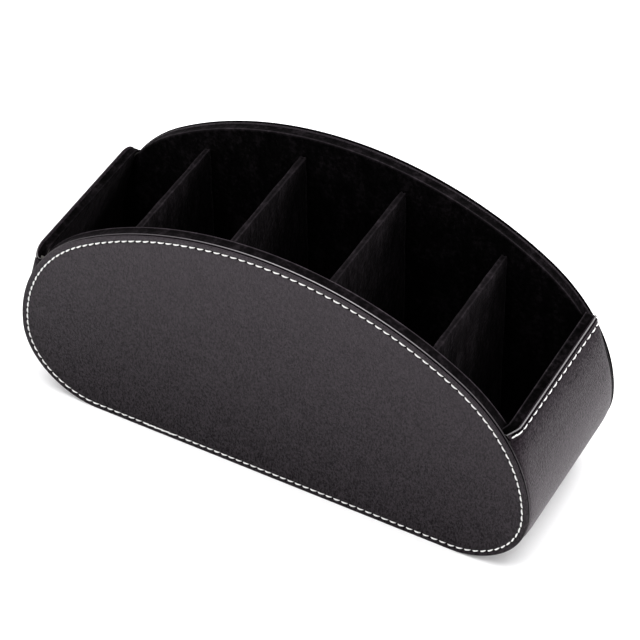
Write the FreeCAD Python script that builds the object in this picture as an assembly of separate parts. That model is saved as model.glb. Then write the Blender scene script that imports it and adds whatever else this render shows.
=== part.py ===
"""A leather covered holder for remote controls, open at the top.

Two upright panels with an arched top stand at the front and the back. A
strip of leather over thin boards runs between them, down one end, along the
bottom and up the other end. The inside is lined with velvet, and velvet
covered dividers part it into compartments of one width.

Sizes are in millimetres. X runs along the holder, Y from the front to the
back and Z up. The origin is on the floor, in the middle of the holder.
"""
import FreeCAD, Part
import math
import os

os.makedirs("parts", exist_ok=True)

# Overall size, over the leather of the two panels.
length = 264.0
depth = 90.0
height = 136.0

# The panels' outline: a flat bottom, round lower corners, and a crown. The
# shoulder between a corner and the crown has a radius this much smaller than
# the crown's rise above the corner.
corner_radius = 39.0
shoulder_fall = 15.1

# Materials, from the outside in.
leather = 0.9
panel_board = 1.5
wall_board = 2.6
panel_pad = 4.6
lining = 1.4

# The leather at a panel's edge: an eased front edge, a crease, then a bead.
face_bevel = 0.7
bead_bevel = 0.35
crease_width = 0.35
crease_depth = 0.45
crease_setback = 0.95

# Beside the panels the strip of leather lies a little inside their outline.
# Away from them it bulges outward at both ends.
strip_inset = 0.3
strip_bulge = 1.0

# Each end rises straight above its round corner and leans inward a little,
# and more so beside the panels. Its top lies this far below the crown's.
end_drop = 47.4
end_lean = 16.5
end_lean_beside = 20.0
end_corner_run = 8.0
end_corner_drop = 2.1

# The velvet's edge lies a little below the leather's.
pad_setback = 0.4
pad_bevel = 0.5
lining_setback = 0.3

# Dividers.
compartments = 5
divider_card = 1.6
divider_velvet = 0.7
divider_drop = 11.6

# Sewing thread.
panel_stitch_pitch = 4.12
end_stitch_pitch = 5.0
stitch_fill = 0.74
thread_width = 0.8
thread_rise = 0.4
panel_stitch_inset = 3.0
end_stitch_inset = 5.8

# Values that follow from the sizes above.
half_length = length / 2
half_depth = depth / 2
panel_thickness = leather + panel_board
clear_half_depth = half_depth - panel_thickness
inner_half_depth = clear_half_depth - panel_pad
flat_half = half_length - corner_radius
rise = height - corner_radius
shoulder_radius = rise - shoulder_fall
crown_radius = (half_length ** 2 + rise ** 2 - 2 * half_length * shoulder_radius) / (
    2 * shoulder_fall)
crown_z = height - crown_radius
shoulder_x = half_length - shoulder_radius
shoulder_angle = math.degrees(math.atan2(corner_radius - crown_z, shoulder_x))

board_inset = strip_inset + leather
lining_inset = board_inset + wall_board
cavity_inset = lining_inset + lining
board_setback = lining_setback + lining
floor_z = cavity_inset
divider_thickness = divider_card + 2 * divider_velvet
cavity_length = length - 2 * cavity_inset
compartment_width = (cavity_length - (compartments - 1) * divider_thickness) / compartments
corner_arc = (end_corner_run ** 2 + end_corner_drop ** 2) / (2 * end_corner_drop)
end_height = height - end_drop
end_reach = end_height + leather


def point(x, z, y=0.0):
    """A point given as across, up and back."""
    return FreeCAD.Vector(x, y, z)


def around(centre_x, centre_z, radius, angle):
    """The point at an angle on a circle, counted from +X towards +Z."""
    turn = math.radians(angle)
    return point(centre_x + radius * math.cos(turn), centre_z + radius * math.sin(turn))


def arc(centre_x, centre_z, radius, start, end):
    """An edge that follows a circle from one angle to another."""
    ends = [around(centre_x, centre_z, radius, angle) for angle in (start, (start + end) / 2, end)]
    return Part.Arc(*ends).toShape()


def outline(inset):
    """The closed outline of a panel, drawn in by an inset."""
    corner = corner_radius - inset
    shoulder = shoulder_radius - inset
    crown = crown_radius - inset
    turn = shoulder_angle
    edges = [
        Part.makeLine(point(-flat_half, inset), point(flat_half, inset)),
        arc(flat_half, corner_radius, corner, -90, 0),
        arc(shoulder_x, corner_radius, shoulder, 0, turn),
        arc(0, crown_z, crown, turn, 180 - turn),
        arc(-shoulder_x, corner_radius, shoulder, 180 - turn, 180),
        arc(-flat_half, corner_radius, corner, 180, 270),
    ]
    return Part.Wire(edges)


def slab(wire, start, end):
    """A flat piece with a given outline, between two depths."""
    piece = Part.Face(wire).extrude(point(0, 0, end - start))
    piece.translate(point(0, 0, start))
    return piece


def to_back(shape):
    """A front piece turned round to the back."""
    return shape.rotated(FreeCAD.Vector(0, 0, 0), FreeCAD.Vector(0, 0, 1), 180)


def end_start(inset, side, beside):
    """Where an end's straight part begins, on the right (1) or the left (-1)."""
    turn = math.radians(end_lean_beside if beside else end_lean)
    bulge = 0 if beside else strip_bulge
    radius = shoulder_radius - inset
    across = shoulder_x + bulge + radius * math.cos(turn)
    return point(side * across, corner_radius + radius * math.sin(turn))


def end_top(inset, side, beside):
    """Where an end's straight part stops, above the end's top edge."""
    start = end_start(inset, side, beside)
    lean = math.radians(end_lean_beside if beside else end_lean)
    return point(start.x - side * (end_reach - start.z) * math.tan(lean), end_reach)


def between(outside, inside):
    """The closed outline between two paths, each a list of edges in order."""
    first = Part.makeLine(outside[0].Vertexes[0].Point, inside[0].Vertexes[0].Point)
    last = Part.makeLine(outside[-1].Vertexes[-1].Point, inside[-1].Vertexes[-1].Point)
    return Part.Wire(Part.__sortEdges__(outside + inside + [first, last]))


def strip_path(inset, beside):
    """The strip's path at an inset, from the left end's top to the right end's."""
    lean = end_lean_beside if beside else end_lean
    bulge = 0 if beside else strip_bulge
    corner = corner_radius - inset
    shoulder = shoulder_radius - inset
    corner_x = flat_half + bulge
    centre_x = shoulder_x + bulge
    left_top, right_top = [end_top(inset, side, beside) for side in (-1, 1)]
    left_start, right_start = [end_start(inset, side, beside) for side in (-1, 1)]
    return [
        Part.makeLine(left_top, left_start),
        arc(-centre_x, corner_radius, shoulder, 180 - lean, 180),
        arc(-corner_x, corner_radius, corner, 180, 270),
        Part.makeLine(point(-corner_x, inset), point(corner_x, inset)),
        arc(corner_x, corner_radius, corner, -90, 0),
        arc(centre_x, corner_radius, shoulder, 0, lean),
        Part.makeLine(right_start, right_top),
    ]


def strip(outer, inner):
    """The space between two insets, round the ends and the bottom.

    In the middle of the depth it keeps one section. Towards each panel it
    runs into the section beside the panel.
    """
    near = clear_half_depth - end_corner_run
    middle = between(strip_path(outer, False), strip_path(inner, False))
    beside = between(strip_path(outer, True), strip_path(inner, True))
    whole = slab(middle, -near, near)
    middle.translate(point(0, 0, -near))
    beside.translate(point(0, 0, -clear_half_depth))
    front = Part.makeLoft([beside, middle], True, True)
    return whole.fuse([front, to_back(front)]).removeSplitter()


def end_edge(offset, y):
    """The height of an end's top edge at a depth, lowered by an offset."""
    past = max(0.0, abs(y) - clear_half_depth + end_corner_run)
    fall = corner_arc - math.sqrt(corner_arc ** 2 - past ** 2)
    return end_height - offset - fall


def below_end_edge(offset):
    """A block with everything below the end's top edge, rounded at its corners."""
    reach = clear_half_depth
    flat = reach - end_corner_run
    side = end_edge(offset, reach)
    half_way = end_edge(offset, reach - end_corner_run / 2)
    x = -length
    corners = [
        FreeCAD.Vector(x, -flat, end_height - offset),
        FreeCAD.Vector(x, -reach, side),
        FreeCAD.Vector(x, -reach, -corner_radius),
        FreeCAD.Vector(x, reach, -corner_radius),
        FreeCAD.Vector(x, reach, side),
        FreeCAD.Vector(x, flat, end_height - offset),
    ]
    front_middle = FreeCAD.Vector(x, -reach + end_corner_run / 2, half_way)
    back_middle = FreeCAD.Vector(x, reach - end_corner_run / 2, half_way)
    edges = [
        Part.Arc(corners[0], front_middle, corners[1]).toShape(),
        Part.makeLine(corners[1], corners[2]),
        Part.makeLine(corners[2], corners[3]),
        Part.makeLine(corners[3], corners[4]),
        Part.Arc(corners[4], back_middle, corners[5]).toShape(),
        Part.makeLine(corners[5], corners[0]),
    ]
    return Part.Face(Part.Wire(edges)).extrude(FreeCAD.Vector(2 * length, 0, 0))


def edges_at(shape, y):
    """The edges of a shape that lie wholly at one depth."""
    return [edge for edge in shape.Edges if abs(edge.BoundBox.YMin - y) < 1e-4
            and abs(edge.BoundBox.YMax - y) < 1e-4]


def crown_at(x):
    """The height of the panels' top edge at a distance from the middle."""
    if abs(x) < crown_radius * math.cos(math.radians(shoulder_angle)):
        return crown_z + math.sqrt(crown_radius ** 2 - x ** 2)
    return corner_radius + math.sqrt(shoulder_radius ** 2 - (abs(x) - shoulder_x) ** 2)


def panel_leather():
    """The skin of the front panel: its face, its edge, a crease and a bead."""
    front = -half_depth
    back = -clear_half_depth
    block = slab(outline(0), front, back)
    block = block.makeChamfer(face_bevel, edges_at(block, front))
    block = block.makeChamfer(bead_bevel, edges_at(block, back))
    block = block.cut(slab(outline(leather), front + leather, back + leather))
    crease = front + crease_setback
    ring = slab(outline(-leather), crease, crease + crease_width)
    ring = ring.cut(slab(outline(crease_depth), crease - leather, crease + crease_width + leather))
    return block.cut(ring)


def panel_board_piece():
    """The stiff board inside the front panel's leather."""
    return slab(outline(leather), -half_depth + leather, -clear_half_depth)


def panel_pad_piece():
    """The velvet pad on the inside of the front panel."""
    pad = slab(outline(pad_setback), -clear_half_depth, -inner_half_depth)
    pad = pad.cut(strip(-leather, cavity_inset).common(below_end_edge(lining_setback)))
    inner = [edge for edge in edges_at(pad, -inner_half_depth) if edge.BoundBox.ZMax > end_height]
    return pad.makeChamfer(pad_bevel, inner)


def strip_leather():
    """The strip of leather round the ends and the bottom, with a crease at each end's top."""
    skin = strip(strip_inset, board_inset).common(below_end_edge(0))
    line = below_end_edge(crease_setback).cut(below_end_edge(crease_setback + crease_width))
    return skin.cut(line.common(strip(strip_inset - leather, strip_inset + crease_depth)))


def strip_boards():
    """The boards under the strip: left end, bottom and right end."""
    whole = strip(board_inset, lining_inset).common(below_end_edge(board_setback))
    tall = 2 * height
    side = Part.makeBox(length, depth, tall, FreeCAD.Vector(flat_half, -half_depth, -height))
    other = Part.makeBox(length, depth, tall, FreeCAD.Vector(-flat_half - length, -half_depth, -height))
    left = whole.common(other)
    right = whole.common(side)
    base = whole.cut(side).cut(other)
    return left, base, right


def strip_lining():
    """The velvet on the inside of the ends and on the floor, folded over the end boards."""
    velvet = strip(board_inset, cavity_inset).common(below_end_edge(lining_setback))
    return velvet.cut(strip(strip_inset, lining_inset).common(below_end_edge(board_setback)))


def divider(x):
    """A divider at a distance from the middle: its card, and velvet folded over it."""
    top = crown_at(x) - divider_drop
    wide = 2 * inner_half_depth
    corner = FreeCAD.Vector(x - divider_thickness / 2, -inner_half_depth, floor_z)
    cover = Part.makeBox(divider_thickness, wide, top - floor_z, corner)
    ridge = [edge for edge in cover.Edges if edge.BoundBox.ZMin > top - 1e-4
             and edge.BoundBox.YLength > wide / 2]
    cover = cover.makeFillet(0.45 * divider_thickness, ridge)
    corner = FreeCAD.Vector(x - divider_card / 2, -inner_half_depth, floor_z)
    card = Part.makeBox(divider_card, wide, top - 2 * divider_velvet - floor_z, corner)
    return card, cover.cut(card)


def stitch(middle, along, normal):
    """One stitch: a short ridge of thread on a surface, in the middle of its pitch."""
    size = along.Length * stitch_fill
    along.normalize()
    across = normal.cross(along)
    corners = [
        FreeCAD.Vector(-size / 2, -thread_width / 2, 0),
        FreeCAD.Vector(-size / 2, thread_width / 2, 0),
        FreeCAD.Vector(-size / 2, 0, thread_rise),
    ]
    ridge = Part.Face(Part.makePolygon(corners + corners[:1])).extrude(FreeCAD.Vector(size, 0, 0))
    turn = FreeCAD.Matrix(
        along.x, across.x, normal.x, middle.x,
        along.y, across.y, normal.y, middle.y,
        along.z, across.z, normal.z, middle.z,
        0, 0, 0, 1)
    ridge.Placement = FreeCAD.Placement(turn)
    return ridge


def panel_stitches():
    """The row of stitches round the front panel."""
    path = outline(panel_stitch_inset)
    path.translate(point(0, 0, -half_depth))
    count = round(path.Length / panel_stitch_pitch)
    points = path.discretize(Number=count + 1)
    outward = FreeCAD.Vector(0, -1, 0)
    row = []
    for start, end in zip(points[:-1], points[1:]):
        row.append(stitch(start.add(end).multiply(0.5), end.sub(start), outward))
    return Part.makeCompound(row)


def on_end(side, y, z):
    """The point on an end's outer face at a depth and a height."""
    drawn = max(0.0, abs(y) - clear_half_depth + end_corner_run) / end_corner_run
    start = end_start(strip_inset, side, False) * (1 - drawn) + end_start(strip_inset, side, True) * drawn
    top = end_top(strip_inset, side, False) * (1 - drawn) + end_top(strip_inset, side, True) * drawn
    share = (z - start.z) / (top.z - start.z)
    return FreeCAD.Vector(start.x + share * (top.x - start.x), y, z)


def end_stitches(skin, side):
    """The row of stitches below the top edge of one end."""
    reach = clear_half_depth - thread_width
    count = round(2 * reach / end_stitch_pitch)
    row = []
    for step in range(count):
        depths = [-reach + 2 * reach * (step + share) / count for share in (0, 0.5, 1)]
        start, middle, end = [on_end(side, y, end_edge(end_stitch_inset, y)) for y in depths]
        below = on_end(side, middle.y, middle.z - thread_width)
        normal = end.sub(start).cross(middle.sub(below)).multiply(side)
        normal.normalize()
        row.append(stitch(middle, end.sub(start), normal).cut(skin))
    return Part.makeCompound(row)


def save(name, shape):
    """Write one piece."""
    shape.exportStep("parts/" + name + ".step")


panel_pieces = {
    "leather": panel_leather(),
    "board": panel_board_piece(),
    "lining": panel_pad_piece(),
    "stitching": panel_stitches(),
}
for name, shape in panel_pieces.items():
    save("front_" + name, shape)
    save("back_" + name, to_back(shape))

left_board, base_board, right_board = strip_boards()
skin = strip_leather()
save("wrap_leather", skin)
save("left_end_board", left_board)
save("base_board", base_board)
save("right_end_board", right_board)
save("wrap_lining", strip_lining())
save("left_end_stitching", end_stitches(skin, -1))
save("right_end_stitching", end_stitches(skin, 1))

divider_pitch = compartment_width + divider_thickness
for number in range(1, compartments):
    centre = (number - compartments / 2) * divider_pitch
    card, velvet = divider(centre)
    save("divider_" + str(number) + "_card", card)
    save("divider_" + str(number) + "_velvet", velvet)
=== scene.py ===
"""A leather covered holder for remote controls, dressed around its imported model.

Lengths in this script are millimetres until a mesh, a light or the camera is made.
X runs along the holder, Y from the front to the back and Z up.
"""
import math
import bmesh
import bpy
import numpy as np
from mathutils import Matrix, Vector


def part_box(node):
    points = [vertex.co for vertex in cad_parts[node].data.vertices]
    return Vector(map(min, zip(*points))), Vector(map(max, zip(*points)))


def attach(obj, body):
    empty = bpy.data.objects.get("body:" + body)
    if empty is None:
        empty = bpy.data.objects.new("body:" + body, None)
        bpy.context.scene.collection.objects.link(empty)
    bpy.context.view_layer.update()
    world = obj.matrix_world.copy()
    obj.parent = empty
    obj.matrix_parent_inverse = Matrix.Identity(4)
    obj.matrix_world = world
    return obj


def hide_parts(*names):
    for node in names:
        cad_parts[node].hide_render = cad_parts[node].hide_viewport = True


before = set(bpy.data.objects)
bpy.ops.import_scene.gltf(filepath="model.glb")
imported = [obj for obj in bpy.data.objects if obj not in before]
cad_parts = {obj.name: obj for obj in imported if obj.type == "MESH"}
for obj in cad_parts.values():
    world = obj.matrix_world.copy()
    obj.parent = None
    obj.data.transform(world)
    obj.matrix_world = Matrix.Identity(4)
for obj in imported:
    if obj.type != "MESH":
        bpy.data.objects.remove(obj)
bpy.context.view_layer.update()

MM = 0.001
SEED = 7


def box_mm(node):
    """A node's lowest and highest corner."""
    low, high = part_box(node)
    return np.array(low) / MM, np.array(high) / MM


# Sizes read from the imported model.
panel_low, panel_high = box_mm("front_leather")
strip_low, strip_high = box_mm("wrap_leather")
cover_low, cover_high = box_mm("divider_1_velvet")
half_length = panel_high[0]
height = panel_high[2]
half_depth = -panel_low[1]
clear_half_depth = -panel_high[1]
inner_half_depth = cover_high[1]
strip_inset = strip_low[2]
strip_bulge = strip_high[0] - half_length + strip_inset
cavity_inset = cover_low[2]

# Sizes that the outline and the ends are worked out from, as in the model.
corner_radius = 39.0
shoulder_fall = 15.1
end_corner_run = 8.0
end_corner_drop = 2.1
end_lean = math.radians(16.5)
leather = 0.9
lining = 1.4
lining_setback = 0.3
pad_setback = 0.4
panel_stitch_inset = 3.0
panel_stitch_count = 159
end_stitch_pitch = 5.0

# The ends' tops are a little lower and further out than the model's, as the photograph shows them.
# Above spread_foot the leather moves out by up to end_spread, and the velvet's face by up to
# lining_spread. Right beside the panels the ends lean in by end_lean_beside.
end_drop = 47.9
spread_foot = 63.0
end_spread = 1.6
lining_spread = 0.8
end_lean_beside = math.radians(17.5)

# An end's top edge rises by end_tilt for each millimetre towards the back. Its stitches lie
# end_stitch_inset below it, and end_stitch_tilt more for each millimetre towards the back. Their
# outermost holes lie end_stitch_margin from the panels. Over end_round_run beside each panel the
# edge is rounded down by end_corner_round, and over end_roll_run the leather rolls in by end_roll.
end_tilt = 0.012
end_stitch_inset = 3.3
end_stitch_tilt = 0.024
end_stitch_margin = 0.8
end_round_run = 3.5
end_corner_round = 2.2
end_roll_run = 1.1
end_roll = 0.75

# The right end's front corner is drawn in and up over a short run beside the panel, and both
# ends' back corners are drawn down. A pull starts at pull_foot and is whole above pull_top.
front_pull_run = 5.0
front_pull_in = 1.9
front_pull_up = 1.2
back_pull_run = 8.0
back_pull_down = 0.5
pull_foot = 70.0
pull_top = 85.0

# Values that follow from the sizes above.
flat_half = half_length - corner_radius
rise = height - corner_radius
shoulder_radius = rise - shoulder_fall
crown_radius = (half_length ** 2 + rise ** 2 - 2 * half_length * shoulder_radius) / (2 * shoulder_fall)
crown_z = height - crown_radius
shoulder_x = half_length - shoulder_radius
shoulder_turn = math.atan2(corner_radius - crown_z, shoulder_x)
end_height = height - end_drop
board_inset = strip_inset + leather
lining_inset = cavity_inset - lining
board_setback = lining_setback + lining

# The leather's rounding at a panel's face, and its bead beside the strip.
edge_round = 0.5
bead_radius = 0.5

# The panels' stitches wander from even steps along their row by three sine waves round the
# panel, of once, twice and three times: how far each shifts them, and its start in degrees. The
# row is closed with a few stitches sewn over others, between two places along it.
stitch_start = 2.58
stitch_drift = [(2.92, -149.0), (0.84, -83.0), (0.82, -146.0)]
seam_start = 586.0
seam_end = 600.0

# The thread, and how its stitches lie. A stitch's length is a share of its step, and it is turned
# a little from its row. A scatter is the usual difference from one stitch to another.
thread_radius = 0.33
panel_stitch_share = 0.86
panel_share_scatter = 0.03
end_stitch_share = 0.8
panel_stitch_turn = math.radians(5.0)
end_stitch_turn = math.radians(4.0)
turn_scatter = math.radians(1.5)

# How finely the meshes are divided. Points closer than weld_distance, in metres, are joined.
panel_samples = 6
pad_stations = 720
arm_rows = 16
shoulder_rows = 7
corner_rows = 26
base_rows = 24
columns_per_stitch = 8
thread_rings = 7
thread_sides = 8
weld_distance = 2e-6

# The camera, and how far the picture's middle lies to the right of and above a point of the
# front panel's middle, at foot_height above the floor.
view_azimuth = math.radians(29.385)
view_elevation = math.radians(44.153)
view_roll = math.radians(-0.743)
view_distance = 1397.5
view_lens = 169.74
sensor_width = 36.0
middle_right = 23.954
middle_up = 70.284
foot_height = 3.5

# The lights, in metres and watts: their names, places, sizes and powers, and where they point.
lights = [("behind", (0.55, 1.3, 1.55), 0.9, 38.0),
          ("above", (-0.3, -0.3, 1.7), 1.4, 30.0),
          ("left", (-1.5, -0.9, 0.9), 1.2, 9.0),
          ("right", (1.6, 0.2, 1.1), 1.0, 12.0)]
lights_aim = (0.0, 0.0, 0.05)


def smooth_step(value, low, high):
    """0 below low and 1 above high, with 3 t squared less 2 t cubed between."""
    t = np.clip((value - low) / (high - low), 0, 1)
    return t * t * (3 - 2 * t)


def bump_at(value, centre, width):
    """A bell: e to the power of minus the square of the distance over the width."""
    return np.exp(-((value - centre) / width) ** 2)


def waves(x, y, z, size, seed):
    """A smooth uneven field from about -1 to 1.

    It is the mean of sines of x, y and z over the size, each along its own seeded direction.
    """
    draw = np.random.default_rng(seed)
    total = 0.0
    count = 9
    for number in range(count):
        direction = draw.normal(size=3)
        direction *= (0.6 + 0.9 * draw.random()) / np.linalg.norm(direction)
        phase = direction[0] * x + direction[1] * y + direction[2] * z
        total = total + np.sin(2 * math.pi * phase / size + 2 * math.pi * draw.random())
    return total / math.sqrt(count)


# Shapes.


def outline(count, line_inset):
    """Places, outward directions and lengths of stations round a panel.

    The stations lie at equal steps along the line at line_inset inside the panels' edge, from
    the middle of the bottom towards the right. Each stretch of the edge is straight, or an arc on
    which the direction turns by the length along the line over the line's radius. The place is
    the arc's centre plus the edge's radius along the direction.
    """
    quarter = math.pi / 2
    right_corner = (flat_half, corner_radius, corner_radius, -quarter, 0.0)
    right_shoulder = (shoulder_x, corner_radius, shoulder_radius, 0.0, shoulder_turn)
    crown = (0.0, crown_z, crown_radius, shoulder_turn, math.pi - shoulder_turn)
    left_shoulder = (-shoulder_x, corner_radius, shoulder_radius, math.pi - shoulder_turn, math.pi)
    left_corner = (-flat_half, corner_radius, corner_radius, math.pi, 3 * quarter)
    arcs = [right_corner, right_shoulder, crown, left_shoulder, left_corner]
    arc_lengths = [(radius - line_inset) * (last - first) for x, z, radius, first, last in arcs]
    around = 2 * flat_half + sum(arc_lengths)
    along = np.arange(count) * around / count
    places = np.zeros((count, 2))
    outward = np.zeros((count, 2))
    places[:, 0] = np.where(along < flat_half, along, along - around)
    outward[:, 1] = -1.0
    begin = flat_half
    for (x, z, radius, first, last), arc_length in zip(arcs, arc_lengths):
        end = begin + arc_length
        here = (along >= begin) & (along < end)
        turn = first + (along[here] - begin) / (radius - line_inset)
        outward[here] = np.stack([np.cos(turn), np.sin(turn)], axis=-1)
        places[here] = np.array([x, z]) + radius * outward[here]
        begin = end
    return places, outward, along, around


def round_body(places, outward, insets, depths):
    """Rings round a panel: each is the outline moved inwards by its inset, at its depth.

    Insets and depths hold a value for each ring, or for each ring and station.
    """
    count = len(places)
    insets = np.broadcast_to(np.reshape(insets, (len(insets), -1)), (len(insets), count))
    depths = np.broadcast_to(np.reshape(depths, (len(depths), -1)), (len(depths), count))
    x = places[:, 0] - insets * outward[:, 0]
    z = places[:, 1] - insets * outward[:, 1]
    return np.stack([x, depths, z], axis=-1)


def beside_panels(depth, run, share=1.0):
    """A quarter circle's fall towards each panel: 0 until a run away from it, and near 1 at it.

    It is 1 less the root of 1 less a share of the square of the way along the run. A share just
    below 1 keeps its end from standing upright.
    """
    past = np.clip((np.abs(depth) - clear_half_depth + run) / run, 0, 1)
    return 1 - np.sqrt(1 - share * past ** 2)


def drawn_in(depth):
    """How far the strip is drawn in at a depth: 0 away from the panels and 1 beside them."""
    return beside_panels(depth, end_corner_run)


def rolled_in(depth):
    """How much more the strip's leather is inset at a depth."""
    return end_roll * beside_panels(depth, end_roll_run, 0.98)


def end_edge(depth):
    """The height of an end's top edge, which falls beside each panel and is rounded off there."""
    rounding = end_corner_round * beside_panels(depth, end_round_run, 0.96)
    return end_height + end_tilt * depth - (end_corner_drop * drawn_in(depth) + rounding)


def end_shape(depth):
    """At a depth: how far the strip bulges, and how much its ends lean."""
    share = drawn_in(depth)
    return strip_bulge * (1 - share), end_lean + share * (end_lean_beside - end_lean)


def arm_x(level, inset, depth, spread=0.0):
    """How far out an end's face lies at a height, an inset and a depth.

    It follows the shoulder's circle up to the angle of the lean, then a straight line that
    leans inward by the tangent of the lean. Above its foot, the spread is added in proportion to
    the height, but not beside the panels.
    """
    bulge, lean = end_shape(depth)
    radius = shoulder_radius - inset
    start_x = shoulder_x + bulge + radius * np.cos(lean)
    start_z = corner_radius + radius * np.sin(lean)
    rise_on_arc = np.minimum(level, start_z) - corner_radius
    arc = shoulder_x + bulge + np.sqrt(radius ** 2 - rise_on_arc ** 2)
    height_share = np.maximum(level - spread_foot, 0) / (end_height - spread_foot)
    more = spread * (1 - drawn_in(depth)) * height_share
    return more + np.where(level > start_z, start_x - (level - start_z) * np.tan(lean), arc)


def pulled(points):
    """Points of the strip, with three of the ends' corners pulled out of line.

    The right end's front corner is drawn in and up, and both ends' back corners are drawn down.
    Each pull grows with the square of the way along its run.
    """
    x, depth, level = points[..., 0], points[..., 1], points[..., 2]
    tall = smooth_step(level, pull_foot, pull_top)
    to_front = np.clip((-depth - clear_half_depth + front_pull_run) / front_pull_run, 0, 1)
    to_back = np.clip((depth - clear_half_depth + back_pull_run) / back_pull_run, 0, 1)
    front = tall * (x > 0) * to_front ** 2
    back = tall * to_back ** 2
    moved = points.copy()
    moved[..., 0] -= front_pull_in * front
    moved[..., 2] += front_pull_up * front - back_pull_down * back
    return moved


def panel_x(level):
    """How far out a panel's edge lies at a height above its corner, on the shoulder's circle."""
    rise_on_arc = np.maximum(level, corner_radius) - corner_radius
    return shoulder_x + np.sqrt(shoulder_radius ** 2 - rise_on_arc ** 2)


def strip_grid(columns, top_rows, inset, spread=0.0):
    """A grid over the strip, from the left end's top to the right end's, across all depths.

    top_rows gives, for each row near an end's top, how far it lies below the edge, and its
    inset. inset gives the inset below them, and how much more it is at each depth. The rows
    follow the arm, then the shoulder's arc, the corner's arc and the flat bottom. The left half
    mirrors the right.
    """
    depth = columns[None, :]
    bulge, lean = end_shape(depth)
    tops = np.array(top_rows)
    base_inset, more = inset
    low_inset = base_inset + more
    level = end_edge(depth) - tops[:, :1]
    rows_x = [arm_x(level, tops[:, 1:] + more, depth, spread)]
    rows_z = [level + 0 * depth]
    share = (np.arange(arm_rows) + 1)[:, None] / (arm_rows + 1)
    start_z = corner_radius + (shoulder_radius - low_inset) * np.sin(lean)
    level = (1 - share) * level[-1:] + share * start_z
    rows_x.append(arm_x(level, low_inset, depth, spread))
    rows_z.append(level)
    steps = np.arange(shoulder_rows)[:, None] / shoulder_rows
    turn = lean * (1 - steps)
    rows_x.append(shoulder_x + bulge + (shoulder_radius - low_inset) * np.cos(turn))
    rows_z.append(corner_radius + (shoulder_radius - low_inset) * np.sin(turn))
    turn = -math.pi / 2 * np.arange(corner_rows)[:, None] / corner_rows
    rows_x.append(flat_half + bulge + (corner_radius - low_inset) * np.cos(turn))
    rows_z.append(corner_radius + (corner_radius - low_inset) * np.sin(turn))
    share = np.linspace(1, 0, base_rows)[:, None]
    rows_x.append(share * (flat_half + bulge))
    rows_z.append(low_inset + 0 * share)
    x = np.concatenate([np.broadcast_to(block, (len(block), len(columns))) for block in rows_x])
    z = np.concatenate([np.broadcast_to(block, (len(block), len(columns))) for block in rows_z])
    right = np.stack([x, np.broadcast_to(depth, x.shape), z], axis=-1)
    left = right[:-1] * (-1, 1, 1)
    return np.concatenate([left, right[::-1]])


def stitch_shift(along, around):
    """How far the stitches lie from even steps, at a place along a panel's row."""
    turn = 2 * math.pi * along / around
    return sum(far * np.sin((number + 1) * turn + math.radians(start))
               for number, (far, start) in enumerate(stitch_drift))


def outward_normals(grid):
    """Directions square to the strip's grid that point out of the holder.

    They are the cross product of the grid's two differences, turned round where the one in the
    middle of the bottom points up.
    """
    normal = np.cross(np.gradient(grid, axis=0), np.gradient(grid, axis=1))
    normal /= np.maximum(np.linalg.norm(normal, axis=-1, keepdims=True), 1e-9)
    middle = grid.shape[0] // 2, grid.shape[1] // 2
    return -normal if normal[middle][2] > 0 else normal


# Meshes.


def grid_faces(rows, columns, closed=False, first=0):
    """Four corners for each cell of a grid whose points are numbered row by row."""
    index = first + np.arange(rows * columns).reshape(rows, columns)
    if closed:
        index = np.concatenate([index, index[:, :1]], axis=1)
    cells = [index[:-1, :-1], index[:-1, 1:], index[1:, 1:], index[1:, :-1]]
    return np.stack(cells, axis=-1).reshape(-1, 4)


def ring_faces(rings):
    """Faces over a stack of closed rings, with a flat face over the first and the last."""
    count, size = rings.shape[:2]
    last = (count - 1) * size
    walls = grid_faces(count, size, closed=True).tolist()
    return walls + [list(range(size))[::-1], list(range(last, last + size))]


def thick_sheet(outer, inner):
    """Points and faces of a sheet with a thickness: two grids, joined along their four edges."""
    rows, columns = outer.shape[:2]
    half = rows * columns
    index = np.arange(half).reshape(rows, columns)
    rim = np.concatenate([index[0, :-1], index[:-1, -1], index[-1, :0:-1], index[:0:-1, 0]])
    after = np.roll(rim, -1)
    sides = np.stack([rim, after, after + half, rim + half], axis=-1)
    faces = np.concatenate([grid_faces(rows, columns), grid_faces(rows, columns, first=half), sides])
    return np.concatenate([outer.reshape(-1, 3), inner.reshape(-1, 3)]), faces.tolist()


def piece(name, points, faces, material, stands_for, marks=None):
    """A closed mesh that rides with the holder and stands for some of its nodes.

    marks is the name of a value that the material reads, and the value at each point.
    """
    mesh = bpy.data.meshes.new(name)
    mesh.from_pydata((points * MM).tolist(), [], faces)
    if marks is not None:
        layer = mesh.attributes.new(marks[0], "FLOAT", "POINT")
        layer.data.foreach_set("value", np.ravel(marks[1]).astype(np.float32))
    work = bmesh.new()
    work.from_mesh(mesh)
    bmesh.ops.remove_doubles(work, verts=work.verts, dist=weld_distance)
    bmesh.ops.recalc_face_normals(work, faces=work.faces)
    work.to_mesh(mesh)
    work.free()
    mesh.polygons.foreach_set("use_smooth", np.ones(len(mesh.polygons), bool))
    mesh.materials.append(material)
    body = bpy.data.objects.new(name, mesh)
    bpy.context.scene.collection.objects.link(body)
    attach(body, "root")
    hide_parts(*stands_for)
    return body


# Materials.


class Value:
    """A shader socket on which arithmetic adds Math nodes."""

    def __init__(self, tree, socket):
        self.tree = tree
        self.socket = socket

    def math(self, operation, *others):
        node = self.tree.nodes.new("ShaderNodeMath")
        node.operation = operation
        for number, value in enumerate((self,) + others):
            connect(self.tree, value, node.inputs[number])
        return Value(self.tree, node.outputs[0])

    def __add__(self, other):
        return self.math("ADD", other)

    def __mul__(self, other):
        return self.math("MULTIPLY", other)

    def __rsub__(self, other):
        return (self * -1.0) + other

    __radd__ = __add__
    __rmul__ = __mul__


def connect(tree, value, socket):
    """Give a socket a link or a fixed value."""
    if isinstance(value, Value):
        tree.links.new(value.socket, socket)
    else:
        socket.default_value = value


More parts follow.
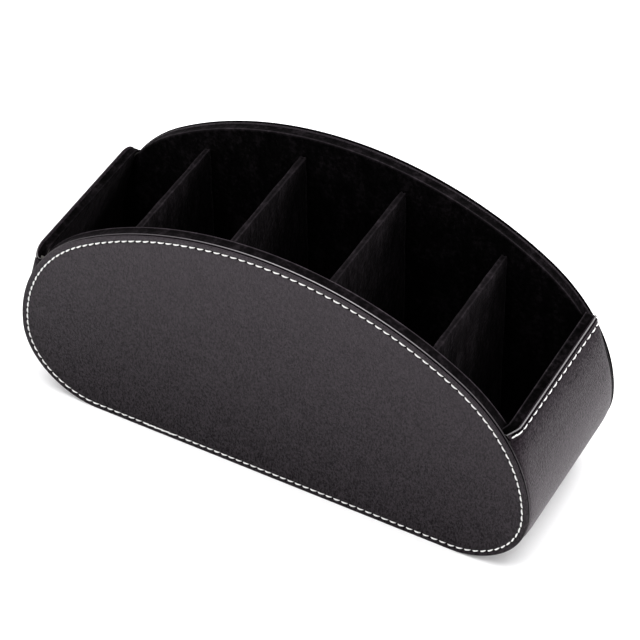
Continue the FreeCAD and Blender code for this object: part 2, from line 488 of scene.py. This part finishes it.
class Finish:
    """A material under construction."""

    def __init__(self, name):
        self.material = bpy.data.materials.new(name)
        self.material.use_nodes = True
        self.tree = self.material.node_tree
        self.surface = self.tree.nodes["Principled BSDF"]
        self.place = self.node("ShaderNodeTexCoord", {}, output="Object")

    def node(self, kind, settings, output=0, **values):
        """A node of a kind: its settings first, then the values or links of its sockets."""
        made = self.tree.nodes.new(kind)
        for name, value in settings.items():
            if name == "stops":
                ramp(made, value)
            else:
                setattr(made, name, value)
        for name, value in values.items():
            connect(self.tree, value, made.inputs[name.replace("_", " ")])
        return Value(self.tree, made.outputs[output])

    def scaled(self, x, y, z):
        """The place, with each axis scaled by its own factor."""
        return self.node("ShaderNodeMapping", {}, Vector=self.place, Scale=(x, y, z))

    def noise(self, size, detail=3.0, roughness=0.55, place=None):
        """Soft noise whose lumps are about a size wide."""
        return self.node("ShaderNodeTexNoise", {}, Vector=place or self.place, Scale=1 / (size * MM),
                         Detail=detail, Roughness=roughness)

    def cells(self, size):
        """Cells about a size wide: the distance to the nearest edge between them."""
        return self.node("ShaderNodeTexVoronoi", {"feature": "DISTANCE_TO_EDGE"}, output="Distance",
                         Vector=self.place, Scale=1 / (size * MM))

    def mark(self, name):
        """The value that a piece's mesh gives at each point under a name."""
        return self.node("ShaderNodeAttribute", {"attribute_name": name}, output="Fac")

    def height_share(self):
        """The height as a share of the panels' height."""
        level = self.node("ShaderNodeSeparateXYZ", {}, output="Z", Vector=self.place)
        return level * (1 / (height * MM))

    def steps(self, value, stops):
        """A smooth ramp through levels, given as pairs of a position and a grey level."""
        return self.node("ShaderNodeValToRGB", {"stops": stops}, Fac=value)

    def mix(self, share, first, second):
        """One colour turned into another by a share."""
        node = self.tree.nodes.new("ShaderNodeMix")
        node.data_type = "RGBA"
        connect(self.tree, share, node.inputs["Factor"])
        connect(self.tree, first, node.inputs[6])
        connect(self.tree, second, node.inputs[7])
        return Value(self.tree, node.outputs[2])

    def relief(self, height_value, depth, under=None):
        """The normal over a height field whose full range is a depth."""
        values = {"Height": height_value, "Distance": depth * MM, "Strength": 1.0}
        if under is not None:
            values["Normal"] = under
        return self.node("ShaderNodeBump", {}, output="Normal", **values)

    def set(self, **values):
        """Values or links on the surface shader."""
        for name, value in values.items():
            connect(self.tree, value, self.surface.inputs[name.replace("_", " ")])
        return self.material


def ramp(node, stops):
    """Grey stops on a colour ramp."""
    elements = node.color_ramp.elements
    while len(elements) > 1:
        elements.remove(elements[-1])
    for number, (position, level) in enumerate(stops):
        stop = elements[0] if number == 0 else elements.new(position)
        stop.position = position
        stop.color = (level, level, level, 1.0)


def grey(level, warm=0.0):
    """A near grey colour, a little towards violet."""
    return (level * (1 + warm), level, level * (1 + 0.8 * warm), 1.0)


def edged(finish, colour, gloss, pale):
    """A leather's colour and gloss, changed where its piece is marked.

    Above 0 the mark is a painted highlight, paler, and below 0 painted shade, near black and without
    gloss.
    """
    edge = finish.mark("edge")
    shade_share = (edge * -1.0).math("MAXIMUM", 0.0)
    with_highlight = finish.mix(edge.math("MAXIMUM", 0.0), colour, grey(pale, 0.03))
    return finish.mix(shade_share, with_highlight, grey(0.0005)), gloss * (1.0 - shade_share)


def smooth_leather():
    """Fine grained leather of the panels, glossier towards the top as painted light, so the top
    reflects brighter.
    """
    finish = Finish("panel_leather")
    grain = finish.cells(0.8)
    creases = finish.steps(grain, [(0.0, 0.0), (0.12, 0.7), (0.5, 1.0)])
    pores = finish.noise(0.55, 3.0)
    streaks = finish.noise(0.8, 3.0, 0.65, finish.scaled(1.0, 1.0, 0.5))
    soft = finish.relief(finish.noise(38.0, 2.0), 0.9)
    fine = finish.relief(creases * 0.5 + pores * 0.8 + streaks, 0.2, soft)
    tone = finish.noise(9.0, 4.0)
    patches = finish.steps(0.12 * tone + 0.88 * streaks, [(0.36, 0.0), (0.64, 1.0)])
    colour = finish.mix(patches, grey(0.002, 0.3), grey(0.012, 0.3))
    # Painted light: the gloss rises towards the top, so the upper face reflects brighter.
    gloss = 0.27 * finish.height_share() + 0.12 * patches
    colour, gloss = edged(finish, colour, gloss, 0.34)
    rough = 0.44 + 0.12 * pores + 0.06 * tone
    return finish.set(Base_Color=colour, Roughness=rough, Normal=fine, Specular_IOR_Level=gloss,
                      Specular_Tint=(1.0, 0.84, 0.97, 1.0))


def pebbled_leather():
    """Leather of the strip, with a pebbled grain, glossier towards the bottom as painted light, so the
    bottom reflects brighter.
    """
    finish = Finish("strip_leather")
    pebbles = finish.cells(1.3)
    valleys = finish.steps(pebbles, [(0.0, 0.0), (0.18, 0.75), (0.5, 1.0)])
    pores = finish.noise(0.6, 3.0)
    lumps = finish.noise(1.1, 3.0)
    soft = finish.relief(finish.noise(30.0, 2.0), 0.8)
    fine = finish.relief(valleys * 0.7 + pores * 0.6 + lumps, 0.32, soft)
    tone = finish.noise(7.0, 4.0)
    patches = finish.steps(0.1 * tone + 0.9 * lumps, [(0.3, 0.0), (0.7, 1.0)])
    colour = finish.mix(patches, grey(0.006, 0.3), grey(0.022, 0.3))
    # Painted light: the gloss falls towards the top, so the lower part reflects brighter.
    gloss = (0.92 - 1.7 * finish.height_share() + 0.18 * patches).math("MAXIMUM", 0.02)
    colour, gloss = edged(finish, colour, gloss, 0.2)
    rough = 0.42 + 0.12 * pores + 0.06 * tone
    return finish.set(Base_Color=colour, Roughness=rough, Normal=fine, Specular_IOR_Level=gloss,
                      Specular_Tint=(1.0, 0.86, 0.95, 1.0))


def velvet():
    """Black velvet, brushed in patches that run up and down, with painted sheen: paler along its
    marked folds and faces.
    """
    finish = Finish("velvet")
    patches = finish.noise(7.0, 5.0, 0.62, finish.scaled(1.0, 1.0, 0.45))
    crushed = finish.noise(2.2, 3.0, 0.6)
    fibres = finish.noise(0.35, 2.0)
    nap = finish.steps(patches * 0.55 + crushed * 0.45, [(0.42, 0.0), (0.52, 0.25), (0.6, 1.0)])
    painted_sheen = finish.mark("painted_sheen")
    fine = finish.relief(fibres, 0.12, finish.relief(patches + crushed * 0.4, 1.4))
    colour = finish.mix(nap, grey(0.0001, 0.2), grey(0.0042, 0.25))
    # Painted sheen: marked places are turned towards a pale grey.
    colour = finish.mix(painted_sheen * (0.1 + 0.8 * fibres + 0.5 * nap), colour, grey(0.045, 0.2))
    finish.set(Sheen_Weight=0.02, Sheen_Roughness=0.35, Sheen_Tint=(0.8, 0.7, 0.78, 1.0))
    return finish.set(Base_Color=colour, Roughness=1.0, Normal=fine, Specular_IOR_Level=0.02)


def sewing_thread():
    """White thread, with the fine twist of its plies."""
    finish = Finish("white_thread")
    fine = finish.relief(finish.mark("twist").math("SINE"), 0.05)
    soil = finish.noise(1.2, 3.0)
    colour = finish.mix(soil, (0.72, 0.71, 0.7, 1.0), (0.93, 0.92, 0.91, 1.0))
    return finish.set(Base_Color=colour, Roughness=0.75, Normal=fine, Sheen_Weight=0.2)


def fibreboard():
    """Dark grey fibreboard, inside the panels, the strip and the dividers."""
    finish = Finish("fibreboard")
    fibres = finish.noise(1.4, 5.0)
    colour = finish.mix(fibres, (0.03, 0.028, 0.026, 1.0), (0.06, 0.055, 0.05, 1.0))
    return finish.set(Base_Color=colour, Roughness=0.9, Normal=finish.relief(fibres, 0.1))


# Panels.


def panel_grid():
    """Rings of the front panel's leather, from its face round to its inner side, and their marks.

    The face sinks along the stitches by a bell, and more at each needle hole. Its edge is a
    quarter circle, then a crease, then the bead, which is most of a half circle. Behind it the
    skin turns in to the board. The needle holes and the crease are painted dark, as shade. The
    bead carries a painted highlight, strongest a little right of the panel's middle.
    """
    places, outward, along, around = outline(panel_stitch_count * panel_samples, panel_stitch_inset)
    steps = (along - stitch_start - stitch_shift(along, around)) * panel_stitch_count / around
    hole = (0.5 - 0.5 * np.cos(2 * math.pi * steps)) ** 2
    face = -half_depth
    face_insets = np.array([9.0, 7.0, 5.8, 5.0, 4.4, 4.0, 3.7, 3.45, 3.2, 3.0, 2.8, 2.55, 2.3, 2.0,
                            1.7, 1.35, 1.1])
    hollow = 0.16 * bump_at(face_insets, panel_stitch_inset, 0.8)[:, None]
    needle = 0.34 * bump_at(face_insets, panel_stitch_inset, 0.42)[:, None] * hole
    turn = np.linspace(0, math.pi / 2, 9)
    edge_insets = edge_round * (1 - np.sin(turn))
    edge_depths = face + edge_round * (1 - np.cos(turn))
    crease_insets = np.array([0.02, 0.1, 0.65, 0.7, 0.6])
    crease_depths = face + np.array([0.56, 0.6, 0.64, 1.1, 1.36])
    bead_turn = np.linspace(-1.35, math.pi / 2, 11)
    bead_insets = bead_radius * (1 - np.cos(bead_turn))
    bead_depths = -clear_half_depth - bead_radius + bead_radius * np.sin(bead_turn)
    inner_insets = np.array([leather, leather, leather + 6.0])
    inner_depths = np.array([-clear_half_depth, face + leather, face + leather])
    insets = np.concatenate([face_insets, edge_insets, crease_insets, bead_insets, inner_insets])
    plain_depths = np.concatenate([edge_depths, crease_depths, bead_depths, inner_depths])[:, None]
    depths = np.concatenate([face + hollow + needle, plain_depths + 0 * along])
    marks = np.zeros(depths.shape)
    # Painted shade in the needle holes.
    hole_shade = 1.7 * bump_at(face_insets, panel_stitch_inset, 0.55)[:, None] * hole
    marks[:len(face_insets)] = -np.minimum(hole_shade, 1)
    crease_row = len(face_insets) + len(turn)
    bead_row = crease_row + len(crease_insets)
    # A painted highlight along the bead, strongest a little right of the middle.
    painted_highlight = 0.08 + 0.92 * bump_at(places[:, 0], 28.0, 55.0)
    marks[bead_row:bead_row + len(bead_turn)] = bump_at(bead_turn, -0.1, 0.4)[:, None] * painted_highlight
    # Painted shade in the crease.
    crease_shade = np.array([0.3, 1.0, 1.0, 1.0, 1.0, 1.0, 0.6])
    marks[crease_row:crease_row + len(crease_shade)] -= crease_shade[:, None]
    return round_body(places, outward, insets, depths), marks


def turned_back(points):
    """A front piece turned half round to the back."""
    return points * (-1, -1, 1)


def on_both_panels(grid, front_marks, back_marks):
    """For each panel: its name, and the points and marks of a piece that is made for the front."""
    points = grid.reshape(-1, 3)
    return ("front", points, front_marks), ("back", turned_back(points), back_marks)


def panels(material):
    """The leather of both panels. The back panel's bead is painted dark, as shade, where the front's
    carries a painted highlight.
    """
    grid, marks = panel_grid()
    faces = ring_faces(grid)
    # On the back panel the bead's painted highlight becomes painted shade.
    back_shade = np.where(marks > 0.01, -0.5, marks)
    for side, points, edge in on_both_panels(grid, marks, back_shade):
        piece(side + "_panel_leather", points, faces, material, [side + "_leather"],
              ("edge", edge))


def wall_inset(places, outward, depth):
    """How far inside a panel's outline the lining's face lies, at each station and at a depth.

    Beside the ends it is found in three steps, because the height depends on the inset.
    """
    bulge, lean = end_shape(depth)
    across = np.maximum(np.abs(outward[:, 0]), 0.3)
    low = cavity_inset - bulge * np.abs(outward[:, 0])
    inset = low
    for step in range(3):
        level = places[:, 1] - inset * outward[:, 1]
        wall_x = arm_x(level, cavity_inset, depth, lining_spread)
        inset = np.where(level > corner_radius, (np.abs(places[:, 0]) - wall_x) / across, low)
    return np.clip(inset, pad_setback, cavity_inset)


def pad_grid():
    """Rings of the front panel's velvet pad, from its hidden side to its open side, and their marks.

    Its edge is a flat band that ends in a small fold. Below each end's top the edge steps in to
    the strip's lining. The open side is uneven, like brushed velvet. The fold and the band carry
    painted sheen.
    """
    places, outward, along, around = outline(pad_stations, 0.0)
    back = -clear_half_depth
    front = -inner_half_depth
    hidden = 3
    band = [(6.0, back), (0.3, back), (0.03, back + 0.12), (0.0, back + 0.4), (0.07, back + 1.3),
            (0.0, back + 2.6), (-0.15, front - 1.1), (-0.3, front - 0.75), (-0.39, front - 0.5),
            (-0.39, front - 0.3), (-0.3, front - 0.12), (-0.1, front - 0.02), (0.3, front)]
    open_insets = (0.9, 1.6, 2.6, 4.0, 6.0, 9.0, 12.0, 16.0, 21.0, 27.0)
    rings = np.array(band + [(inset, front) for inset in open_insets])
    edges = [end_edge(depth) for depth in rings[:, 1]]
    above = np.array([smooth_step(places[:, 1], edge - 0.3, edge + 1.2) for edge in edges])
    walls = np.array([wall_inset(places, outward, depth) for depth in rings[:, 1]])
    edge_insets = pad_setback * above + walls * (1 - above)
    body = round_body(places, outward, edge_insets + rings[:, :1], rings[:, 1])
    uneven = 0.2 * waves(body[:, :, 0], 0, body[:, :, 2], 13.0, SEED)
    share = smooth_step(rings[:, 0], 0.4, 3.0) * (1 - smooth_step(rings[:, 0], 16.0, 27.0))
    share[:hidden] = 0
    body[:, :, 1] += uneven * share[:, None]
    # Painted sheen along the fold, and a little over the band.
    painted_sheen = (0.05 + bump_at(rings[:, 1], front - 0.3, 0.25))[:, None] * above
    painted_sheen[:hidden] = 0
    painted_sheen[len(band):] = 0
    return body, painted_sheen


def pads(material):
    """The velvet pads of both panels. The back one's fold carries less painted sheen."""
    grid, painted_sheen = pad_grid()
    faces = ring_faces(grid)
    for side, points, painted_highlight in on_both_panels(grid, painted_sheen, 0.45 * painted_sheen):
        body = piece(side + "_velvet_pad", points, faces, material, [side + "_lining"],
                     ("painted_sheen", painted_highlight))


# The strip round the ends and the bottom.


def end_hole_depths():
    """The needle holes of an end's stitches, as depths."""
    reach = clear_half_depth - end_stitch_margin
    count = round(2 * reach / end_stitch_pitch)
    return np.linspace(-reach, reach, count + 1)


def strip_columns():
    """Depths of the strip's columns: even between the needle holes, closer beside each panel."""
    holes = end_hole_depths()
    even = np.linspace(holes[0], holes[-1], columns_per_stitch * (len(holes) - 1) + 1)
    beside = np.array([0.0, 0.1, 0.25, 0.5])
    return np.concatenate([-clear_half_depth + beside, even, clear_half_depth - beside[::-1]])


def turned_in(grid, depth):
    """A strip grid with one more column at each side, turned in behind the panels' edge."""
    clearance = 0.3
    ends = []
    for column in (grid[:, :1], grid[:, -1:]):
        extra = column.copy()
        reach = panel_x(extra[:, :, 2]) - clearance
        high = extra[:, :, 2] > corner_radius
        extra[:, :, 0] = np.where(high, np.clip(extra[:, :, 0], -reach, reach), extra[:, :, 0])
        extra[:, :, 1] = np.sign(extra[:, :, 1]) * depth
        ends.append(extra)
    return np.concatenate([ends[0], grid, ends[1]], axis=1)


def row_marks(grid, left, right):
    """Marks on a strip grid's shown side, from the values of the rows below each end's top."""
    marks = np.zeros((2,) + grid.shape[:2])
    marks[0, :len(left)] = np.array(left)[:, None]
    marks[0, -len(right):] = np.array(right)[::-1, None]
    return marks


def strip_skin(material):
    """The pebbled leather.

    Each end's top is a bead, with a crease below it, then a hem that is hollow along the stitches
    and ends in a groove. The bead carries a painted highlight, and the crease and the groove painted
    shade.
    Each needle hole sinks as the cube of a wave between the holes.
    """
    columns = strip_columns()
    top_rows = [(0.7, 1.2), (0.3, 1.18), (0.1, 1.04), (0.0, 0.8), (0.03, 0.6), (0.14, 0.42),
                (0.32, 0.32), (0.5, 0.3), (0.65, 0.34), (0.75, 0.5), (0.8, 0.8), (1.0, 0.95),
                (1.35, 0.95), (1.55, 0.8), (1.6, 0.5), (1.7, 0.36), (1.9, 0.3), (2.1, 0.29),
                (2.3, 0.31), (2.5, 0.35), (2.65, 0.39), (2.8, 0.44), (2.95, 0.47), (3.05, 0.49),
                (3.2, 0.5), (3.35, 0.49), (3.5, 0.47), (3.7, 0.44), (4.0, 0.39), (4.3, 0.4),
                (4.5, 0.42), (4.75, 0.36), (5.2, 0.32), (6.5, 0.3), (8.5, 0.3)]
    outer = strip_grid(columns, top_rows, (strip_inset, rolled_in(columns)), end_spread)
    holes = end_hole_depths()
    steps = (columns - holes[0]) / (holes[1] - holes[0])
    hole = (0.5 + 0.5 * np.cos(2 * math.pi * steps)) ** 3
    below = end_edge(columns)[None, :] - outer[:, :, 2]
    needle = 0.34 * bump_at(below, end_stitch_inset + end_stitch_tilt * columns, 0.45) * hole
    outer = pulled(outer - outward_normals(outer) * needle[:, :, None])
    inner_reach = clear_half_depth - 0.05
    inner_columns = np.clip(columns, -inner_reach, inner_reach)
    inner_rows = [(max(drop, leather), board_inset) for drop, inset in top_rows]
    inner = strip_grid(inner_columns, inner_rows, (board_inset, 0 * columns))
    shown = turned_in(outer, clear_half_depth + 0.04)
    points, faces = thick_sheet(shown, turned_in(inner, inner_reach))
    drops = np.array(top_rows)[:, 0]
    # A painted highlight on the bead, and painted shade in the crease and in the groove below the
    # stitches.
    edge = np.zeros(len(drops))
    edge[3:7] = 0.1, 1.0, 0.9, 0.1
    edge[np.abs(drops - 1.18) < 0.45] -= 1.0
    edge -= 0.5 * bump_at(drops, end_stitch_inset + 1.15, 0.45)
    marks = row_marks(shown, edge, edge)
    piece("strip_leather", points, faces, material, ["wrap_leather"], ("edge", marks))


def strip_lining(material):
    """The velvet on the floor and the ends, folded over the end boards' tops.

    Its fold carries painted sheen, more at the right end than at the left. The left end's face
    carries a little painted light as well, since it looks paler in the photograph.
    """
    columns = strip_columns()[::2]
    top_rows = [(0.9, 1.22), (0.5, 1.24), (0.34, 1.4), (0.3, 1.7), (0.33, 2.3), (0.36, 3.0),
                (0.38, 3.7), (0.36, 4.2), (0.22, 4.5), (0.12, 4.75), (0.14, 4.95), (0.3, 5.12),
                (0.55, 5.2), (1.0, 5.2), (1.8, 5.2), (3.0, 5.2)]
    hidden_rows = [(max(drop, board_setback), min(inset, lining_inset)) for drop, inset in top_rows]
    shown = pulled(strip_grid(columns, top_rows, (cavity_inset, 0 * columns), lining_spread))
    hidden = strip_grid(columns, hidden_rows, (lining_inset, 0 * columns))
    points, faces = thick_sheet(shown, hidden)
    # Painted sheen along the fold.
    painted_sheen = np.array([bump_at(inset, 4.8, 0.22) if drop < 0.5 else 0.0 for drop, inset in top_rows])
    # A little painted light over the left end's face.
    left = np.full(len(shown) // 3, 0.05)
    left[:len(painted_sheen)] = 0.08 * painted_sheen
    marks = row_marks(shown, left, 0.5 * painted_sheen)
    body = piece("floor_and_end_velvet", points, faces, material, ["wrap_lining"],
                 ("painted_sheen", marks))


# Dividers.


def divider_velvet(number, material):
    """Velvet folded over one divider's card.

    Its section runs up one side, over the top and down the other side. The top has a round fold
    along each side and a shallow hollow between them. The sides are slightly uneven. The folds and
    the sides towards the top carry painted sheen.
    """
    name = "divider_" + str(number) + "_velvet"
    card = "divider_" + str(number) + "_card"
    low, high = box_mm(name)
    card_low, card_high = box_mm(card)
    middle = (low[0] + high[0]) / 2
    half = (high[0] - low[0]) / 2
    card_half = (card_high[0] - card_low[0]) / 2
    round_off = 0.45
    side_rows = 40
    top = high[2]
    columns = np.linspace(low[1] + 0.02, high[1] - 0.02, 60)
    rows_up = low[2] + (top - 2 * round_off - low[2]) * np.linspace(0, 1, side_rows) ** 0.7
    turn = np.linspace(math.pi, 0.35 * math.pi, 8)
    fold_x = -half + round_off + round_off * np.cos(turn)
    fold_z = top - round_off + round_off * np.sin(turn)
    # Painted sheen over the folds.
    fold_sheen = 0.1 + 0.14 * np.sin(turn) ** 2
    side_x = np.concatenate([np.full(side_rows, -half), fold_x, [-0.35]])
    side_z = np.concatenate([rows_up, fold_z, [top - 0.34]])
    # Painted sheen on the sides, lighter towards the top.
    side_sheen = np.concatenate([0.12 * bump_at(rows_up, top, 7.0), fold_sheen, [0.1]])
    x = np.concatenate([side_x, [0.0], -side_x[::-1]])[:, None]
    z = np.concatenate([side_z, [top - 0.4], side_z[::-1]])[:, None]
    outer = np.stack(np.broadcast_arrays(middle + x, columns, z), axis=-1).copy()
    inner_x = middle + np.clip(x, -card_half, card_half)
    inner = np.stack(np.broadcast_arrays(inner_x, columns, np.minimum(z, card_high[2])), axis=-1)
    uneven = waves(0, outer[:, :, 1], outer[:, :, 2], 16.0, SEED + number)
    outer[:, :, 0] += 0.16 * uneven * np.sign(x) * (np.abs(x) > card_half)
    marks = np.zeros((2,) + outer.shape[:2])
    marks[0] = np.concatenate([side_sheen, [0.1], side_sheen[::-1]])[:, None] + 0.01
    points, faces = thick_sheet(outer, inner)
    body = piece(name + "_cover", points, faces, material, [name], ("painted_sheen", marks))


# Sewing.


def stitches(name, middles, alongs, normals, sizes, material, stands_for):
    """A row of thread stitches.

    Each is a thread that rises from its needle hole and sinks into the next: its middle line is a
    parabola over its length, and its radius shrinks to nothing at its two ends as the fourth
    root of one less the sixth power of the share. Two plies twist round it.
    """
    share = np.linspace(-1, 1, thread_rings)[None, :, None]
    turn = np.linspace(0, 2 * math.pi, thread_sides, endpoint=False)[None, None, :]
    across = np.cross(normals, alongs)
    plies = 1 + 0.1 * np.cos(2 * turn - 4 * share)
    radius = thread_radius * np.maximum(1 - share ** 6, 0.02) ** 0.25 * plies
    lift = 0.12 - 0.42 * share ** 2
    length = sizes[:, None, None] / 2 * share
    side = 1.12 * radius * np.cos(turn)
    up = lift + 0.85 * radius * np.sin(turn)
    points = (middles[:, None, None, :] + length[..., None] * alongs[:, None, None, :]
              + side[..., None] * across[:, None, None, :] + up[..., None] * normals[:, None, None, :])
    one = thread_rings * thread_sides
    walls = grid_faces(thread_rings, thread_sides, closed=True)
    caps = [np.arange(thread_sides)[::-1], one - thread_sides + np.arange(thread_sides)]
    quads = np.array([[cap[0], cap[k], cap[k + 1], cap[k + 2]] for cap in caps for k in (1, 3, 5)])
    begins = one * np.arange(len(middles))[:, None, None]
    faces = (np.concatenate([walls, quads])[None] + begins).reshape(-1, 4)
    twist = np.broadcast_to(26 * share + 2 * turn, points.shape[:3])
    piece(name, points.reshape(-1, 3), faces.tolist(), material, stands_for, ("twist", twist))


def tilted(alongs, normals, angles):
    """Directions turned about their normals by small angles."""
    across = np.cross(normals, alongs)
    return alongs * np.cos(angles)[:, None] + across * np.sin(angles)[:, None]


def panel_stitching(material):
    """The stitches round both panels. Where the row meets itself, a few are sewn over."""
    draw = np.random.default_rng(SEED)
    places, outward, along, around = outline(8 * panel_stitch_count, panel_stitch_inset)
    line = places - panel_stitch_inset * outward
    pitch = around / panel_stitch_count
    even = stitch_start + pitch * np.arange(panel_stitch_count)
    middle_at = (even + stitch_shift(even, around)) % around
    closed = np.concatenate([along, [around]])
    x, z, out_x, out_z = [np.interp(middle_at, closed, np.concatenate([track, track[:1]]))
                          for track in (line[:, 0], line[:, 1], outward[:, 0], outward[:, 1])]
    level = 0 * x
    middles = np.stack([x, level - half_depth + 0.1, z], axis=-1)
    alongs = np.stack([-out_z, level, out_x], axis=-1)
    normals = np.stack([level, level - 1, level], axis=-1)
    scatter = draw.standard_normal(panel_stitch_count)
    sizes = pitch * (panel_stitch_share + panel_share_scatter * scatter)
    angles = panel_stitch_turn + turn_scatter * draw.standard_normal(panel_stitch_count)
    seam = (middle_at > seam_start) & (middle_at < seam_end)
    over = middles[seam] + 0.45 * pitch * alongs[seam] + 0.18 * normals[seam]
    middles = np.concatenate([middles, over])
    alongs = np.concatenate([tilted(alongs, normals, angles), alongs[seam]])
    normals = np.concatenate([normals, normals[seam]])
    sizes = np.concatenate([sizes, sizes[seam]])
    stitches("front_thread", middles, alongs, normals, sizes, material, ["front_stitching"])
    middles, alongs, normals = [turned_back(values) for values in (middles, alongs, normals)]
    stitches("back_thread", middles, alongs, normals, sizes, material, ["back_stitching"])


def on_end(side, depths, below=0.0):
    """Points of an end's stitch line, or a little below it, at some depths."""
    level = end_edge(depths) - end_stitch_inset - end_stitch_tilt * depths - below
    x = arm_x(level, strip_inset + rolled_in(depths), depths, end_spread)
    return pulled(np.stack([side * x, depths, level], axis=-1))


def end_stitching(material):
    """The stitches below each end's top edge. The first and the last run on round to the panels.

    A stitch's outward direction is square to its row and to the way down the end's face.
    """
    draw = np.random.default_rng(SEED + 1)
    holes = end_hole_depths()
    last = np.array([clear_half_depth - 2.2, clear_half_depth])
    begins = np.concatenate([-last[1:], holes[:-1], last[:1]])
    ends = np.concatenate([-last[:1], holes[1:], last[1:]])
    centres = (begins + ends) / 2
    for side, name in ((1, "right"), (-1, "left")):
        middles = on_end(side, centres)
        alongs = on_end(side, ends) - on_end(side, begins)
        steps = np.linalg.norm(alongs, axis=-1)
        alongs = alongs / steps[:, None]
        down = on_end(side, centres, 0.5) - middles
        normals = np.cross(alongs, down)
        normals *= side * np.sign(normals[:, :1]) / np.linalg.norm(normals, axis=-1)[:, None]
        angles = end_stitch_turn + turn_scatter * draw.standard_normal(len(steps))
        stitches(name + "_end_thread", middles - 0.08 * normals, tilted(alongs, normals, angles),
                 normals, end_stitch_share * steps, material, [name + "_end_stitching"])


# The camera, the floor and the lights.


def camera():
    """The camera at the photograph's angle.

    Its back direction is turned by the azimuth about Z and raised by the elevation. It looks at a
    point that lies to the right of and above the foot of the front panel, as the view sees it.
    """
    right = Vector((math.cos(view_azimuth), math.sin(view_azimuth), 0))
    back = Vector((math.sin(view_azimuth) * math.cos(view_elevation),
                   -math.cos(view_azimuth) * math.cos(view_elevation), math.sin(view_elevation)))
    up = back.cross(right)
    rolled_right = math.cos(view_roll) * right + math.sin(view_roll) * up
    rolled_up = -math.sin(view_roll) * right + math.cos(view_roll) * up
    aim = Vector((0, -half_depth, foot_height)) + middle_right * rolled_right + middle_up * rolled_up
    data = bpy.data.cameras.new("camera")
    data.lens = view_lens
    data.sensor_width = sensor_width
    data.clip_start = 0.05
    data.clip_end = 20.0
    body = bpy.data.objects.new("camera", data)
    turn = Matrix((rolled_right, rolled_up, back)).transposed().to_4x4()
    body.matrix_world = Matrix.Translation((aim + view_distance * back) * MM) @ turn
    bpy.context.scene.collection.objects.link(body)
    bpy.context.scene.camera = body


def studio():
    """A pale floor, a white surround and broad soft lights."""
    scene = bpy.context.scene
    scene.view_settings.view_transform = "Standard"
    world = bpy.data.worlds.new("surround")
    world.use_nodes = True
    background = world.node_tree.nodes["Background"]
    background.inputs["Color"].default_value = (1.0, 1.0, 1.0, 1.0)
    background.inputs["Strength"].default_value = 0.55
    scene.world = world
    bpy.ops.mesh.primitive_plane_add(size=8.0)
    floor = bpy.context.active_object
    floor.name = "floor"
    paper = Finish("paper")
    fibre = paper.noise(2.0, 2.0)
    pale = paper.mix(fibre, (0.93, 0.93, 0.935, 1.0), (0.95, 0.95, 0.955, 1.0))
    paper.set(Base_Color=pale, Roughness=1.0, Specular_IOR_Level=0.0)
    floor.data.materials.append(paper.material)
    for name, place, size, power in lights:
        light = bpy.data.lights.new(name, "AREA")
        light.size = size
        light.energy = power
        body = bpy.data.objects.new(name, light)
        body.location = place
        towards = Vector(lights_aim) - Vector(place)
        body.rotation_euler = towards.to_track_quat("-Z", "Y").to_euler()
        scene.collection.objects.link(body)


def dress():
    """Every piece with its finish."""
    panel_leather = smooth_leather()
    strip_leather = pebbled_leather()
    black_velvet = velvet()
    thread = sewing_thread()
    board = fibreboard()
    for name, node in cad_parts.items():
        if name.endswith(("board", "card")):
            node.data.materials.clear()
            node.data.materials.append(board)
    panels(panel_leather)
    pads(black_velvet)
    strip_skin(strip_leather)
    strip_lining(black_velvet)
    for number in range(1, 5):
        divider_velvet(number, black_velvet)
    panel_stitching(thread)
    end_stitching(thread)


camera()
studio()
dress()
